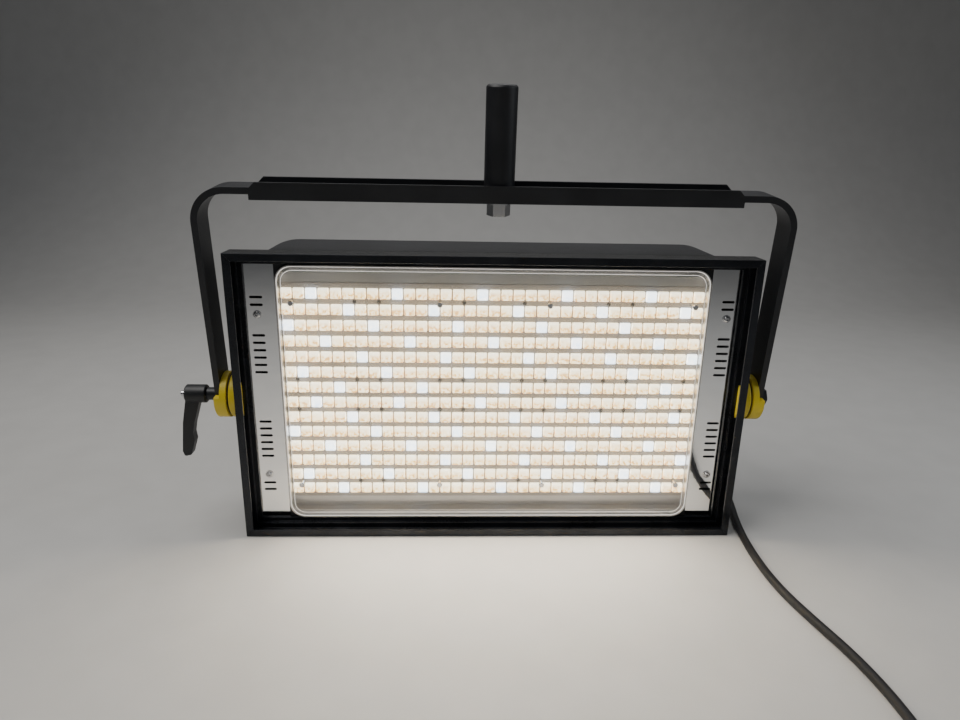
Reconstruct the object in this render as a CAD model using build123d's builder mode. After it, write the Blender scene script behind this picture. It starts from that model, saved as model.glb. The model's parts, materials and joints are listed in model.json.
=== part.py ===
"""LED panel light: a lit head in a U-shaped yoke with a 28 mm spigot, clamp lever and mains cord.

Frame of the model: +X to the right seen from the front, +Y to the back, +Z up.
The origin lies on the surface that the head stands on, straight below the tilt axis.
"""
from build123d import *
from math import cos, pi, radians, sin, tan
import os

# Head
HEAD_W = 508.0
HEAD_H = 295.0
HEAD_MID = HEAD_H / 2
PIVOT_DEPTH = 30.0
FRAME_DEPTH = 26.0
HOUSING_REAR = 103.0
HOUSING_CORNER = 50.0
SHEET = 2.0

# Accessory frame profile
LIP_W = 7.5
STEP_W = 8.0
FLANGE_W = 12.5
OUTER_WALL = 2.0
TAIL_W = 4.0
CHANNEL_START = 2.0
CHANNEL_END = 14.0
STEP_END = 18.0
FLANGE_REAR = 20.0

# LED array, in tiles of 7 x 7 lenses
TILE_COLS = 5
TILE_ROWS = 2
LEDS_PER_TILE = 7
PITCH_X = 12.0
PITCH_Z = 16.2
TILE_W = LEDS_PER_TILE * PITCH_X
TILE_H = LEDS_PER_TILE * PITCH_Z
LENS = 10.4
LENS_DEPTH = 3.4
LENS_FRONT = 26.0
BOARD_FRONT = LENS_FRONT + LENS_DEPTH
BOARD_T = 1.6
BOARD_SEAM = 0.3
BOARD_MARGIN = 2.4
BOARD_HOLE_R = 1.6
COOL_STEP = 3
COOL_START = 2
COOL_CYCLE = 8

# Tray and clear cover
TRAY_W = 423.0
TRAY_H = 269.0
TRAY_CORNER = 16.0
TRAY_WALL = 1.2
TRAY_FRONT = 17.0
TRAY_FLOOR_T = 1.5
PANE_FRONT = 18.5
PANE_T = 2.0
PANE_GAP = 0.2
LEDGE = 6.0
TRAY_REAR = BOARD_FRONT + BOARD_T + TRAY_FLOOR_T

# Side reflector plates
PLATE_IN = 9.0
PLATE_W = 32.5
PLATE_T = 1.0
SLOT_CENTRE = 23.0
SLOT_L = 12.5
SLOT_W = 2.5
SLOT_PITCH = 7.6
SLOT_FIRST = 26.5
SLOT_GROUP = 6
SLOT_OUTER = 95.1
PLATE_SCREW_Z = 85.4
CHASSIS_T = 2.0

# Tilt pivot
DISC_R = 23.5
PIVOT_R = 5.0
RUNNING = 0.05
CLEAR_R = 5.4
DISC_INBOARD = 4.0
DISC_INNER_OUT = 8.5
WASHER_OUT = 10.5
DISC_PLATE_OUT = 17.0
DISC_OUT = 22.5
DISC_SHOULDER = 6.0
BRACKET_T = 3.0
NUT_T = 8.0

# Yoke
YOKE_LEAN = 5.9
BAR_W = 30.0
BAR_T = 6.0
LEG_IN = 17.0
BAR_BOTTOM = 203.5
BEND_IN = 26.0
YOKE_IN_W = HEAD_W + 2 * LEG_IN
BAR_TOP = BAR_BOTTOM + BAR_T
CHANNEL_L = 445.0
CHANNEL_T = 2.5
WEB_T = 4.5
CHANNEL_RISE = 5.0
CHANNEL_CUT = 6.0
SPIGOT_R = 14.0
SPIGOT_L = 89.0
STUD_R = 6.0
STUD_END = 185.0
M12_FLATS = 19.0
M10_FLATS = 17.0

# Clamp lever, measured outwards from the side of the head
COLLAR_OUT = 35.3
COLLAR_R = 6.5
SPLINE_R = 6.0
SPLINE_END = 45.0
HUB_R = 9.3
HUB_OUT = 57.0
LEVER_SCREW_OUT = 62.0
LEVER_SCREW_R = 3.2

# Rear control panel
PANEL_W = 190.0
PANEL_H = 64.0
PANEL_T = 2.0
PANEL_Z = 72.0
BUTTON_X = (-83.0, -69.0, -55.0, -41.0)
BUTTON_Y = -16.0
BUTTON_R = 4.2
DISPLAY_AT = (-62.0, 9.0)
DISPLAY_W = 50.0
DISPLAY_H = 20.0
SOCKET_X = (-8.0, 26.0)
ROCKER_X = 70.0
ROCKER_DROP = 4.0
ROCKER_REST = 7.0
STANDOFF = 9.4
BOARD_DEPTH = HOUSING_REAR + SHEET - STANDOFF
STANDOFF_AT = ((-88, 25), (-88, -25), (88, 25), (88, -25))

# Power cord
CORD_R = 4.0
GLAND_X = 190.0
GLAND_Z = 34.0
GLAND_FLANGE = 6.0
RELIEF_L = 36.0
FLOOR_Z = CORD_R + 0.1
COIL_X = 243.0
COIL_Y = -366.0
COIL_MEAN_R = 44.0
COIL_HALF_W = 8.4
COIL_H = 24.4
PLUG_START = 32.0
PLUG_AT = (COIL_X - PLUG_START, COIL_Y - COIL_MEAN_R - CORD_R, 18.0)
CORD_TAIL = PLUG_START - 8.0

os.makedirs("parts", exist_ok=True)


def save(context, name):
    """Label a finished sub-part and write it as its own STEP file."""
    context.part.label = name
    export_step(context.part, f"parts/{name}.step")


def face_plane(depth):
    """Plane parallel to the front, this far behind it, centred on the head, facing forward."""
    origin = (0, depth - PIVOT_DEPTH, HEAD_MID)
    return Plane(origin=origin, x_dir=(1, 0, 0), z_dir=(0, -1, 0))


def side_plane(side, outboard):
    """Plane square to the tilt axis, this far outside the head's side, facing outward."""
    origin = (side * (HEAD_W / 2 + outboard), 0, HEAD_MID)
    return Plane(origin=origin, x_dir=(0, side, 0), z_dir=(side, 0, 0))


LEAN = radians(YOKE_LEAN)
YOKE_UP = Vector(0, -sin(LEAN), cos(LEAN))
YOKE_BACK = Vector(0, cos(LEAN), sin(LEAN))
PIVOT = Vector(0, 0, HEAD_MID)


def yoke_front_plane(offset):
    """Plane of the leaning yoke, this far behind its middle, facing forward."""
    return Plane(origin=PIVOT + YOKE_BACK * offset, x_dir=(1, 0, 0), z_dir=-YOKE_BACK)


def yoke_level_plane(height):
    """Plane square to the yoke's up direction, this far above the tilt axis."""
    return Plane(origin=PIVOT + YOKE_UP * height, x_dir=(1, 0, 0), z_dir=YOKE_UP)


def yoke_side_plane(side, outboard):
    """Like side_plane, but with its y direction along the leaning yoke."""
    origin = PIVOT + Vector(side * (HEAD_W / 2 + outboard), 0, 0)
    return Plane(origin=origin, x_dir=YOKE_BACK * side, z_dir=(side, 0, 0))


# ---------------------------------------------------------------- accessory frame

FRAME_PROFILE = [
    (0, 0),
    (LIP_W, 0),
    (LIP_W, CHANNEL_START),
    (OUTER_WALL, CHANNEL_START),
    (OUTER_WALL, CHANNEL_END),
    (STEP_W, CHANNEL_END),
    (STEP_W, STEP_END),
    (FLANGE_W, STEP_END),
    (FLANGE_W, FLANGE_REAR),
    (TAIL_W, FLANGE_REAR),
    (TAIL_W, FRAME_DEPTH),
    (0, FRAME_DEPTH),
]


def frame_member(name, plane, length, disc_side=0):
    """One mitred extrusion: profile x runs inward and y to the back; it ends in 45 degree cuts."""
    with BuildPart() as member:
        with BuildSketch(plane):
            with BuildLine():
                Polyline(FRAME_PROFILE, close=True)
            make_face()
        extrude(amount=length)
        start = Plane(origin=plane.origin, z_dir=plane.z_dir - plane.x_dir)
        split(bisect_by=start, keep=Keep.TOP)
        far = plane.origin + plane.z_dir * length
        end = Plane(origin=far, z_dir=plane.z_dir * -1 - plane.x_dir)
        split(bisect_by=end, keep=Keep.TOP)
        if disc_side:
            with BuildSketch(side_plane(disc_side, 1)):
                Circle(DISC_R + 0.3)
            extrude(amount=-1 - DISC_INBOARD, mode=Mode.SUBTRACT)
    save(member, name)


FRONT = -PIVOT_DEPTH
HALF_W = HEAD_W / 2
left = Plane(origin=(-HALF_W, FRONT, 0), x_dir=(1, 0, 0), z_dir=(0, 0, 1))
right = Plane(origin=(HALF_W, FRONT, HEAD_H), x_dir=(-1, 0, 0), z_dir=(0, 0, -1))
bottom = Plane(origin=(HALF_W, FRONT, 0), x_dir=(0, 0, 1), z_dir=(-1, 0, 0))
top = Plane(origin=(-HALF_W, FRONT, HEAD_H), x_dir=(0, 0, -1), z_dir=(1, 0, 0))
frame_member("frame_left", left, HEAD_H, -1)
frame_member("frame_right", right, HEAD_H, 1)
frame_member("frame_bottom", bottom, HEAD_W)
frame_member("frame_top", top, HEAD_W)

# ---------------------------------------------------------------- front plates

SLOT_HEIGHTS = [SLOT_FIRST + i * SLOT_PITCH for i in range(SLOT_GROUP)]
SLOT_HEIGHTS += [SLOT_OUTER, SLOT_OUTER + SLOT_PITCH]
PLATE_H = HEAD_H - 2 * PLATE_IN
SCREW_R = 1.45

for side, name in ((-1, "reflector_plate_left"), (1, "reflector_plate_right")):
    slot_x = side * (HALF_W - SLOT_CENTRE)
    with BuildPart() as plate:
        with BuildSketch(face_plane(FLANGE_REAR)):
            with Locations((side * (HALF_W - PLATE_IN - PLATE_W / 2), 0)):
                Rectangle(PLATE_W, PLATE_H)
            with Locations([(slot_x, sign * z) for z in SLOT_HEIGHTS for sign in (-1, 1)]):
                SlotOverall(SLOT_L, SLOT_W, mode=Mode.SUBTRACT)
            with Locations([(slot_x, sign * PLATE_SCREW_Z) for sign in (-1, 1)]):
                Circle(SCREW_R + 0.2, mode=Mode.SUBTRACT)
        extrude(amount=-PLATE_T)
    save(plate, name)

PLATE_SCREW_AT = [(sx * (HALF_W - SLOT_CENTRE), sz * PLATE_SCREW_Z) for sx in (-1, 1) for sz in (-1, 1)]
CHASSIS_FRONT = FLANGE_REAR + PLATE_T

with BuildPart() as plate_screws:
    with BuildSketch(face_plane(FLANGE_REAR)):
        with Locations(PLATE_SCREW_AT):
            Circle(3.0)
    extrude(amount=1.8)
    chamfer(plate_screws.edges().group_by(Axis.Y)[0], 0.6)
    with BuildSketch(face_plane(FLANGE_REAR - 1.8)):
        with Locations(PLATE_SCREW_AT):
            RegularPolygon(1.2, 6)
    extrude(amount=-1.0, mode=Mode.SUBTRACT)
    with BuildSketch(face_plane(FLANGE_REAR)):
        with Locations(PLATE_SCREW_AT):
            Circle(SCREW_R)
    extrude(amount=-6.0)
save(plate_screws, "plate_screws")

# The chassis plate ties the frame together and holds the tray, with windows behind the slots.
WINDOW_H = (SLOT_GROUP - 1) * SLOT_PITCH + SLOT_W + 2
WINDOW_MID = SLOT_FIRST + (SLOT_GROUP - 1) * SLOT_PITCH / 2
NUT_NOTCH_W = 14.0
NUT_NOTCH_H = 30.0
with BuildPart() as chassis:
    with BuildSketch(face_plane(CHASSIS_FRONT)):
        Rectangle(HEAD_W - 2 * TAIL_W, HEAD_H - 2 * TAIL_W)
        RectangleRounded(TRAY_W + 0.6, TRAY_H + 0.6, TRAY_CORNER + 0.3, mode=Mode.SUBTRACT)
        for sx in (-1, 1):
            for sz in (-1, 1):
                with Locations((sx * (HALF_W - SLOT_CENTRE), sz * WINDOW_MID)):
                    Rectangle(SLOT_L + 2, WINDOW_H, mode=Mode.SUBTRACT)
                with Locations((sx * (HALF_W - SLOT_CENTRE), sz * (SLOT_OUTER + SLOT_PITCH / 2))):
                    Rectangle(SLOT_L + 2, SLOT_PITCH + SLOT_W + 2, mode=Mode.SUBTRACT)
            with Locations((sx * (HALF_W - TAIL_W - NUT_NOTCH_W / 2), 0)):
                Rectangle(NUT_NOTCH_W, NUT_NOTCH_H, mode=Mode.SUBTRACT)
        with Locations(PLATE_SCREW_AT):
            Circle(SCREW_R + RUNNING, mode=Mode.SUBTRACT)
    extrude(amount=-CHASSIS_T)
save(chassis, "chassis_plate")

# ---------------------------------------------------------------- tray, boards, lenses

BOARD_CENTRES = []
for row in range(TILE_ROWS):
    for col in range(TILE_COLS):
        x = (col - (TILE_COLS - 1) / 2) * TILE_W
        z = ((TILE_ROWS - 1) / 2 - row) * TILE_H
        BOARD_CENTRES.append((x, z))


def led_offset(index, pitch):
    """Distance of a tile's lens or hole (counted from 0, halves allowed) from the tile's middle."""
    return (index - (LEDS_PER_TILE - 1) / 2) * pitch


HOLE_STEPS = (0.5, 5.5)
COVER_SCREW_STEPS = (0.5, 12.5, 21.5, 33.5)
ARRAY_HALF_X = (TILE_COLS * LEDS_PER_TILE - 1) / 2
ARRAY_HALF_Z = (TILE_ROWS * LEDS_PER_TILE - 1) / 2
COVER_SCREW_AT = [
    ((step - ARRAY_HALF_X) * PITCH_X, sign * (ARRAY_HALF_Z - HOLE_STEPS[0]) * PITCH_Z)
    for step in COVER_SCREW_STEPS
    for sign in (-1, 1)
]
COVER_SCREW_R = 1.5

with BuildPart() as tray:
    with BuildSketch(face_plane(TRAY_FRONT)):
        RectangleRounded(TRAY_W, TRAY_H, TRAY_CORNER)
    extrude(amount=-(TRAY_REAR - TRAY_FRONT))
    with BuildSketch(face_plane(TRAY_FRONT)):
        RectangleRounded(TRAY_W - 2 * TRAY_WALL, TRAY_H - 2 * TRAY_WALL, TRAY_CORNER - TRAY_WALL)
    extrude(amount=-(PANE_FRONT + PANE_T - TRAY_FRONT), mode=Mode.SUBTRACT)
    with BuildSketch(face_plane(PANE_FRONT + PANE_T)):
        RectangleRounded(TRAY_W - 2 * TRAY_WALL, TRAY_H - 2 * TRAY_WALL - 2 * LEDGE, 8)
    extrude(amount=-(TRAY_REAR - TRAY_FLOOR_T - PANE_FRONT - PANE_T), mode=Mode.SUBTRACT)
    with BuildSketch(face_plane(TRAY_REAR)):
        with Locations(COVER_SCREW_AT):
            Circle(COVER_SCREW_R + RUNNING)
    extrude(amount=TRAY_FLOOR_T, mode=Mode.SUBTRACT)
save(tray, "led_tray")

for number, (x, z) in enumerate(BOARD_CENTRES, start=1):
    outer = BOARD_MARGIN if z > 0 else -BOARD_MARGIN
    with BuildPart() as board:
        with BuildSketch(face_plane(BOARD_FRONT)):
            with Locations((x, z + outer / 2)):
                Rectangle(TILE_W - BOARD_SEAM, TILE_H + BOARD_MARGIN - BOARD_SEAM)
            hole_x = [x + led_offset(step, PITCH_X) for step in HOLE_STEPS]
            hole_z = [z + led_offset(step, PITCH_Z) for step in HOLE_STEPS]
            with Locations([(hx, hz) for hx in hole_x for hz in hole_z]):
                Circle(BOARD_HOLE_R, mode=Mode.SUBTRACT)
        extrude(amount=-BOARD_T)
    save(board, f"led_board_{number:02d}")


def lens_block(name, cool):
    """All lenses of one colour: each row of a tile has one cool lens, three columns on from the last."""
    spots = []
    for x, z in BOARD_CENTRES:
        for row in range(LEDS_PER_TILE):
            for col in range(LEDS_PER_TILE):
                is_cool = col == (COOL_START + COOL_STEP * row) % COOL_CYCLE
                if is_cool == cool:
                    spots.append((x + led_offset(col, PITCH_X), z - led_offset(row, PITCH_Z)))
    with BuildPart() as lenses:
        with BuildSketch(face_plane(BOARD_FRONT)):
            with Locations(spots):
                Rectangle(LENS, LENS)
        extrude(amount=LENS_DEPTH, taper=6)
    save(lenses, name)


lens_block("warm_lenses", cool=False)
lens_block("cool_lenses", cool=True)

with BuildPart() as pane:
    with BuildSketch(face_plane(PANE_FRONT)):
        inset = 2 * (TRAY_WALL + PANE_GAP)
        RectangleRounded(TRAY_W - inset, TRAY_H - inset, TRAY_CORNER - TRAY_WALL - PANE_GAP)
        with Locations(COVER_SCREW_AT):
            Circle(COVER_SCREW_R + 0.2, mode=Mode.SUBTRACT)
    extrude(amount=-PANE_T)
save(pane, "clear_cover")

SINK_BASE_T = 5.0
with BuildPart() as cover_screws:
    with BuildSketch(face_plane(PANE_FRONT)):
        with Locations(COVER_SCREW_AT):
            Circle(2.8)
    extrude(amount=1.4)
    chamfer(cover_screws.edges().group_by(Axis.Y)[0], 0.5)
    with BuildSketch(face_plane(PANE_FRONT)):
        with Locations(COVER_SCREW_AT):
            Circle(COVER_SCREW_R)
    extrude(amount=-(TRAY_REAR + SINK_BASE_T - PANE_FRONT - 1))
save(cover_screws, "cover_screws")

# ---------------------------------------------------------------- heat sink and housing

SINK_W = 404.0
SINK_H = 250.0
FIN_T = 2.0
FIN_DEPTH = 26.0
FIN_COUNT = 29
with BuildPart() as heat_sink:
    with BuildSketch(face_plane(TRAY_REAR)):
        Rectangle(SINK_W, SINK_H)
        with Locations(COVER_SCREW_AT):
            Circle(COVER_SCREW_R + RUNNING, mode=Mode.SUBTRACT)
    extrude(amount=-SINK_BASE_T)
    with BuildSketch(face_plane(TRAY_REAR + SINK_BASE_T)):
        with GridLocations((SINK_W - FIN_T) / (FIN_COUNT - 1), 0, FIN_COUNT, 1):
            Rectangle(FIN_T, SINK_H)
    extrude(amount=-FIN_DEPTH)
save(heat_sink, "heat_sink")

REAR_LIP = 12.0
REAR_SCREW_INSET = 6.0
SCREW_ROW_X = (-150.0, -50.0, 50.0, 150.0)
SCREW_ROW_Z = (-60.0, 60.0)
REAR_SCREW_AT = [(x, s * (HEAD_MID - REAR_SCREW_INSET)) for x in SCREW_ROW_X for s in (-1, 1)]
REAR_SCREW_AT += [(s * (HALF_W - REAR_SCREW_INSET), z) for z in SCREW_ROW_Z for s in (-1, 1)]
REAR_SCREW_R = 1.6

with BuildPart() as housing:
    with BuildSketch(face_plane(FRAME_DEPTH)):
        RectangleRounded(HEAD_W, HEAD_H, HOUSING_CORNER)
        RectangleRounded(HEAD_W - 2 * SHEET, HEAD_H - 2 * SHEET, HOUSING_CORNER - SHEET, mode=Mode.SUBTRACT)
    extrude(amount=-(HOUSING_REAR - FRAME_DEPTH))
    with BuildSketch(face_plane(HOUSING_REAR - SHEET)):
        RectangleRounded(HEAD_W - SHEET, HEAD_H - SHEET, HOUSING_CORNER - SHEET / 2)
        inner_w = HEAD_W - 2 * REAR_LIP
        inner_h = HEAD_H - 2 * REAR_LIP
        RectangleRounded(inner_w, inner_h, HOUSING_CORNER - REAR_LIP, mode=Mode.SUBTRACT)
        with Locations(REAR_SCREW_AT):
            Circle(REAR_SCREW_R + RUNNING, mode=Mode.SUBTRACT)
    extrude(amount=-SHEET)
    for side in (-1, 1):
        with BuildSketch(side_plane(side, 1)):
            Circle(DISC_R + 0.3)
        extrude(amount=-1 - SHEET, mode=Mode.SUBTRACT)
save(housing, "rear_housing")

VENT_L = 70.0
VENT_W = 3.5
VENT_PITCH = 9.0
VENT_ROWS = 14
VENT_X = 175.0
VENT_Z = 38.0
with BuildPart() as rear_cover:
    with BuildSketch(face_plane(HOUSING_REAR)):
        RectangleRounded(HEAD_W, HEAD_H, HOUSING_CORNER)
        for side in (-1, 1):
            with Locations((side * VENT_X, VENT_Z)):
                with GridLocations(0, VENT_PITCH, 1, VENT_ROWS):
                    SlotOverall(VENT_L, VENT_W, mode=Mode.SUBTRACT)
        with Locations((0, PANEL_Z - HEAD_MID)):
            Rectangle(PANEL_W - 6, PANEL_H - 6, mode=Mode.SUBTRACT)
        with Locations((GLAND_X, GLAND_Z - HEAD_MID)):
            Circle(8.2, mode=Mode.SUBTRACT)
        with Locations(REAR_SCREW_AT):
            Circle(REAR_SCREW_R + 0.2, mode=Mode.SUBTRACT)
    extrude(amount=-SHEET)
    chamfer(rear_cover.edges().group_by(Axis.Y)[-1].sort_by(SortBy.LENGTH)[-8:], 0.6)
save(rear_cover, "rear_cover")

COVER_REAR = HOUSING_REAR + SHEET
with BuildPart() as rear_screws:
    with BuildSketch(face_plane(COVER_REAR)):
        with Locations(REAR_SCREW_AT):
            Circle(3.0)
    extrude(amount=-1.8)
    chamfer(rear_screws.edges().group_by(Axis.Y)[-1], 0.6)
    with BuildSketch(face_plane(COVER_REAR + 1.8)):
        with Locations(REAR_SCREW_AT):
            RegularPolygon(1.3, 6)
    extrude(amount=1.0, mode=Mode.SUBTRACT)
    with BuildSketch(face_plane(COVER_REAR)):
        with Locations(REAR_SCREW_AT):
            Circle(REAR_SCREW_R)
    extrude(amount=6.0)
save(rear_screws, "rear_cover_screws")

with BuildPart() as power_supply:
    with BuildSketch(face_plane(HOUSING_REAR)):
        with Locations((0, 44)):
            Rectangle(200, 100)
    extrude(amount=33.0)
    fillet(power_supply.edges().filter_by(Axis.Y), 3)
save(power_supply, "power_supply")

# ---------------------------------------------------------------- rear control panel


def panel_plane(depth):
    """Plane parallel to the rear, centred on the control panel, x as in the model, facing forward."""
    origin = (0, depth - PIVOT_DEPTH, PANEL_Z)
    return Plane(origin=origin, x_dir=(1, 0, 0), z_dir=(0, -1, 0))


PANEL_REAR = COVER_REAR + PANEL_T
ROCKER_W = 18.4
ROCKER_H = 12.4
BEZEL_IN_W = 20.4
BEZEL_IN_H = 13.2
BEZEL_W = 25.0
BEZEL_H = 18.0
BEZEL_T = 1.6
SOCKET_R = 7.5
SOCKET_BODY_R = 9.5

with BuildPart() as control_panel:
    with BuildSketch(panel_plane(COVER_REAR)):
        RectangleRounded(PANEL_W, PANEL_H, 3)
        with Locations(DISPLAY_AT):
            Rectangle(DISPLAY_W, DISPLAY_H, mode=Mode.SUBTRACT)
        with Locations([(x, BUTTON_Y) for x in BUTTON_X]):
            Circle(BUTTON_R + 0.35, mode=Mode.SUBTRACT)
        with Locations([(x, 0) for x in SOCKET_X]):
            Circle(SOCKET_BODY_R, mode=Mode.SUBTRACT)
        with Locations((ROCKER_X, 0)):
            Rectangle(BEZEL_IN_W + 2.4, BEZEL_IN_H + 2.4, mode=Mode.SUBTRACT)
    extrude(amount=-PANEL_T)
    with BuildSketch(panel_plane(COVER_REAR)):
        with Locations(STANDOFF_AT):
            Circle(3)
    extrude(amount=STANDOFF)
save(control_panel, "control_panel")

with BuildPart() as display:
    with BuildSketch(panel_plane(COVER_REAR)):
        with Locations(DISPLAY_AT):
            Rectangle(DISPLAY_W + 6, DISPLAY_H + 6)
    extrude(amount=1.5)
    with BuildSketch(panel_plane(COVER_REAR)):
        with Locations(DISPLAY_AT):
            Rectangle(DISPLAY_W, DISPLAY_H)
    extrude(amount=-PANEL_T + 0.4)
save(display, "display_window")

BUTTON_FLANGE_GAP = 0.3
SWITCH_GAP = 1.2
SWITCH_TOP = BOARD_DEPTH + 3.2
for number, x in enumerate(BUTTON_X, start=1):
    with BuildPart() as button:
        with BuildSketch(panel_plane(COVER_REAR - BUTTON_FLANGE_GAP)):
            with Locations((x, BUTTON_Y)):
                Circle(BUTTON_R)
        extrude(amount=-(PANEL_T + 2.3))
        fillet(button.edges().group_by(Axis.Y)[-1], 0.8)
        with BuildSketch(panel_plane(COVER_REAR - BUTTON_FLANGE_GAP)):
            with Locations((x, BUTTON_Y)):
                Circle(BUTTON_R + 1.2)
        extrude(amount=1.2)
        with BuildSketch(panel_plane(COVER_REAR - BUTTON_FLANGE_GAP)):
            with Locations((x, BUTTON_Y)):
                Circle(1.8)
        extrude(amount=COVER_REAR - BUTTON_FLANGE_GAP - SWITCH_TOP - SWITCH_GAP)
    save(button, f"menu_button_{number}")

with BuildPart() as control_board:
    with BuildSketch(panel_plane(BOARD_DEPTH)):
        with Locations((-32, 0)):
            Rectangle(128, PANEL_H - 8)
        with Locations((60, 25), (60, -25)):
            Rectangle(64, 6)
        with Locations([(x, 0) for x in SOCKET_X]):
            Circle(SOCKET_BODY_R + 0.5, mode=Mode.SUBTRACT)
    extrude(amount=1.6)
    with BuildSketch(panel_plane(BOARD_DEPTH)):
        with Locations([(x, BUTTON_Y) for x in BUTTON_X]):
            Rectangle(6, 6)
    extrude(amount=-(SWITCH_TOP - BOARD_DEPTH))
save(control_board, "control_board")

SOCKET_DEPTH = 16.0
SOCKET_BACK_T = 2.0
with BuildPart() as sockets:
    with BuildSketch(panel_plane(PANEL_REAR)):
        with Locations([(x, 0) for x in SOCKET_X]):
            RectangleRounded(26, 31, 3)
    extrude(amount=-1.6)
    with BuildSketch(panel_plane(PANEL_REAR)):
        with Locations([(x, 0) for x in SOCKET_X]):
            Circle(SOCKET_BODY_R - RUNNING)
    extrude(amount=SOCKET_DEPTH)
    with BuildSketch(panel_plane(PANEL_REAR + 1.6)):
        with Locations([(x, 0) for x in SOCKET_X]):
            Circle(SOCKET_R)
    extrude(amount=SOCKET_DEPTH + 1.6 - SOCKET_BACK_T, mode=Mode.SUBTRACT)
    with BuildSketch(panel_plane(PANEL_REAR - SOCKET_DEPTH + SOCKET_BACK_T)):
        with Locations([(x, 0) for x in SOCKET_X]):
            with PolarLocations(5.2, 5, start_angle=126, angular_range=288, rotate=False):
                Circle(0.6)
    extrude(amount=-4.0)
save(sockets, "signal_sockets")

ROCKER_PIVOT = PANEL_REAR - ROCKER_DROP
BEZEL_FLOOR = 4.6
with BuildPart() as rocker_switch:
    with BuildSketch(panel_plane(PANEL_REAR)):
        with Locations((ROCKER_X, 0)):
            RectangleRounded(BEZEL_W, BEZEL_H, 1.5)
    extrude(amount=-BEZEL_T)
    with BuildSketch(panel_plane(PANEL_REAR)):
        with Locations((ROCKER_X, 0)):
            Rectangle(BEZEL_IN_W + 2.2, BEZEL_IN_H + 2.2)
    extrude(amount=18)
    with BuildSketch(panel_plane(PANEL_REAR + BEZEL_T)):
        with Locations((ROCKER_X, 0)):
            Rectangle(BEZEL_IN_W, BEZEL_IN_H)
    extrude(amount=BEZEL_T + ROCKER_DROP + BEZEL_FLOOR, mode=Mode.SUBTRACT)
save(rocker_switch, "rocker_switch_body")

# The rocker is a shallow V on top; one end is pressed in at rest.
ROCKER_FACE = [(-9.2, -3), (-9.2, 5.4), (0, 4.2), (9.2, 5.4), (9.2, -3)]
rocker_origin = (ROCKER_X, ROCKER_PIVOT - PIVOT_DEPTH, PANEL_Z - ROCKER_H / 2)
rocker_plane = Plane(origin=rocker_origin, x_dir=(1, 0, 0), z_dir=(0, 0, 1)).rotated((0, 0, ROCKER_REST))
with BuildPart() as rocker:
    with BuildSketch(rocker_plane):
        with BuildLine():
            Polyline(ROCKER_FACE, close=True)
        make_face()
    extrude(amount=ROCKER_H)
save(rocker, "power_rocker")

# ---------------------------------------------------------------- tilt pivots

for side, name in ((-1, "tilt_disc_inner_left"), (1, "tilt_disc_inner_right")):
    with BuildPart() as disc:
        with BuildSketch(side_plane(side, -DISC_INBOARD)):
            Circle(DISC_R)
            Circle(PIVOT_R + RUNNING, mode=Mode.SUBTRACT)
        extrude(amount=DISC_INBOARD + DISC_INNER_OUT)
        chamfer(disc.edges().filter_by(GeomType.CIRCLE).sort_by(SortBy.RADIUS)[-2:], 1.0)
    save(disc, name)

BRACKET_Y = 20.5
BRACKET_W = 54.0
BRACKET_H = 120.0
FOOT_Y = 22.0
FOOT_W = 50.0
FOOT_H = 16.0
with BuildPart() as brackets:
    for side in (-1, 1):
        with BuildSketch(side_plane(side, -DISC_INBOARD)):
            with Locations((side * BRACKET_Y, 0)):
                RectangleRounded(BRACKET_W, BRACKET_H, 4)
            Circle(CLEAR_R, mode=Mode.SUBTRACT)
        extrude(amount=-BRACKET_T)
        for end in (-1, 1):
            with BuildSketch(side_plane(side, -SHEET)):
                with Locations((side * FOOT_Y, end * (BRACKET_H - FOOT_H) / 2)):
                    Rectangle(FOOT_W, FOOT_H)
            extrude(amount=-(DISC_INBOARD - SHEET))
save(brackets, "pivot_brackets")

NUT_IN = DISC_INBOARD + BRACKET_T
with BuildPart() as pivot_nuts:
    for side in (-1, 1):
        with BuildSketch(side_plane(side, -NUT_IN)):
            RegularPolygon(M10_FLATS / 2, 6, major_radius=False, rotation=30)
            Circle(PIVOT_R + RUNNING, mode=Mode.SUBTRACT)
        extrude(amount=-NUT_T)
save(pivot_nuts, "pivot_nuts")

with BuildPart() as friction_washers:
    for side in (-1, 1):
        with BuildSketch(side_plane(side, DISC_INNER_OUT + 0.1)):
            Circle(DISC_R - 2.5)
            Circle(CLEAR_R, mode=Mode.SUBTRACT)
        extrude(amount=WASHER_OUT - DISC_INNER_OUT - 0.1)
save(friction_washers, "friction_washers")

LEG_SLOT = 0.2
for side, name in ((-1, "tilt_disc_outer_left"), (1, "tilt_disc_outer_right")):
    with BuildPart() as disc:
        with BuildSketch(yoke_side_plane(side, WASHER_OUT)):
            Circle(DISC_R)
            Circle(PIVOT_R + RUNNING, mode=Mode.SUBTRACT)
        extrude(amount=DISC_PLATE_OUT - WASHER_OUT)
        with BuildSketch(yoke_side_plane(side, DISC_PLATE_OUT)):
            Circle(DISC_R)
            with Locations((0, DISC_R + DISC_SHOULDER)):
                Rectangle(2 * DISC_R, 2 * DISC_R, mode=Mode.SUBTRACT)
            Circle(BAR_W / 2 + LEG_SLOT, mode=Mode.SUBTRACT)
            with Locations((0, DISC_R / 2)):
                Rectangle(BAR_W + 2 * LEG_SLOT, DISC_R, mode=Mode.SUBTRACT)
        extrude(amount=DISC_OUT - DISC_PLATE_OUT)
    save(disc, name)

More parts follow.
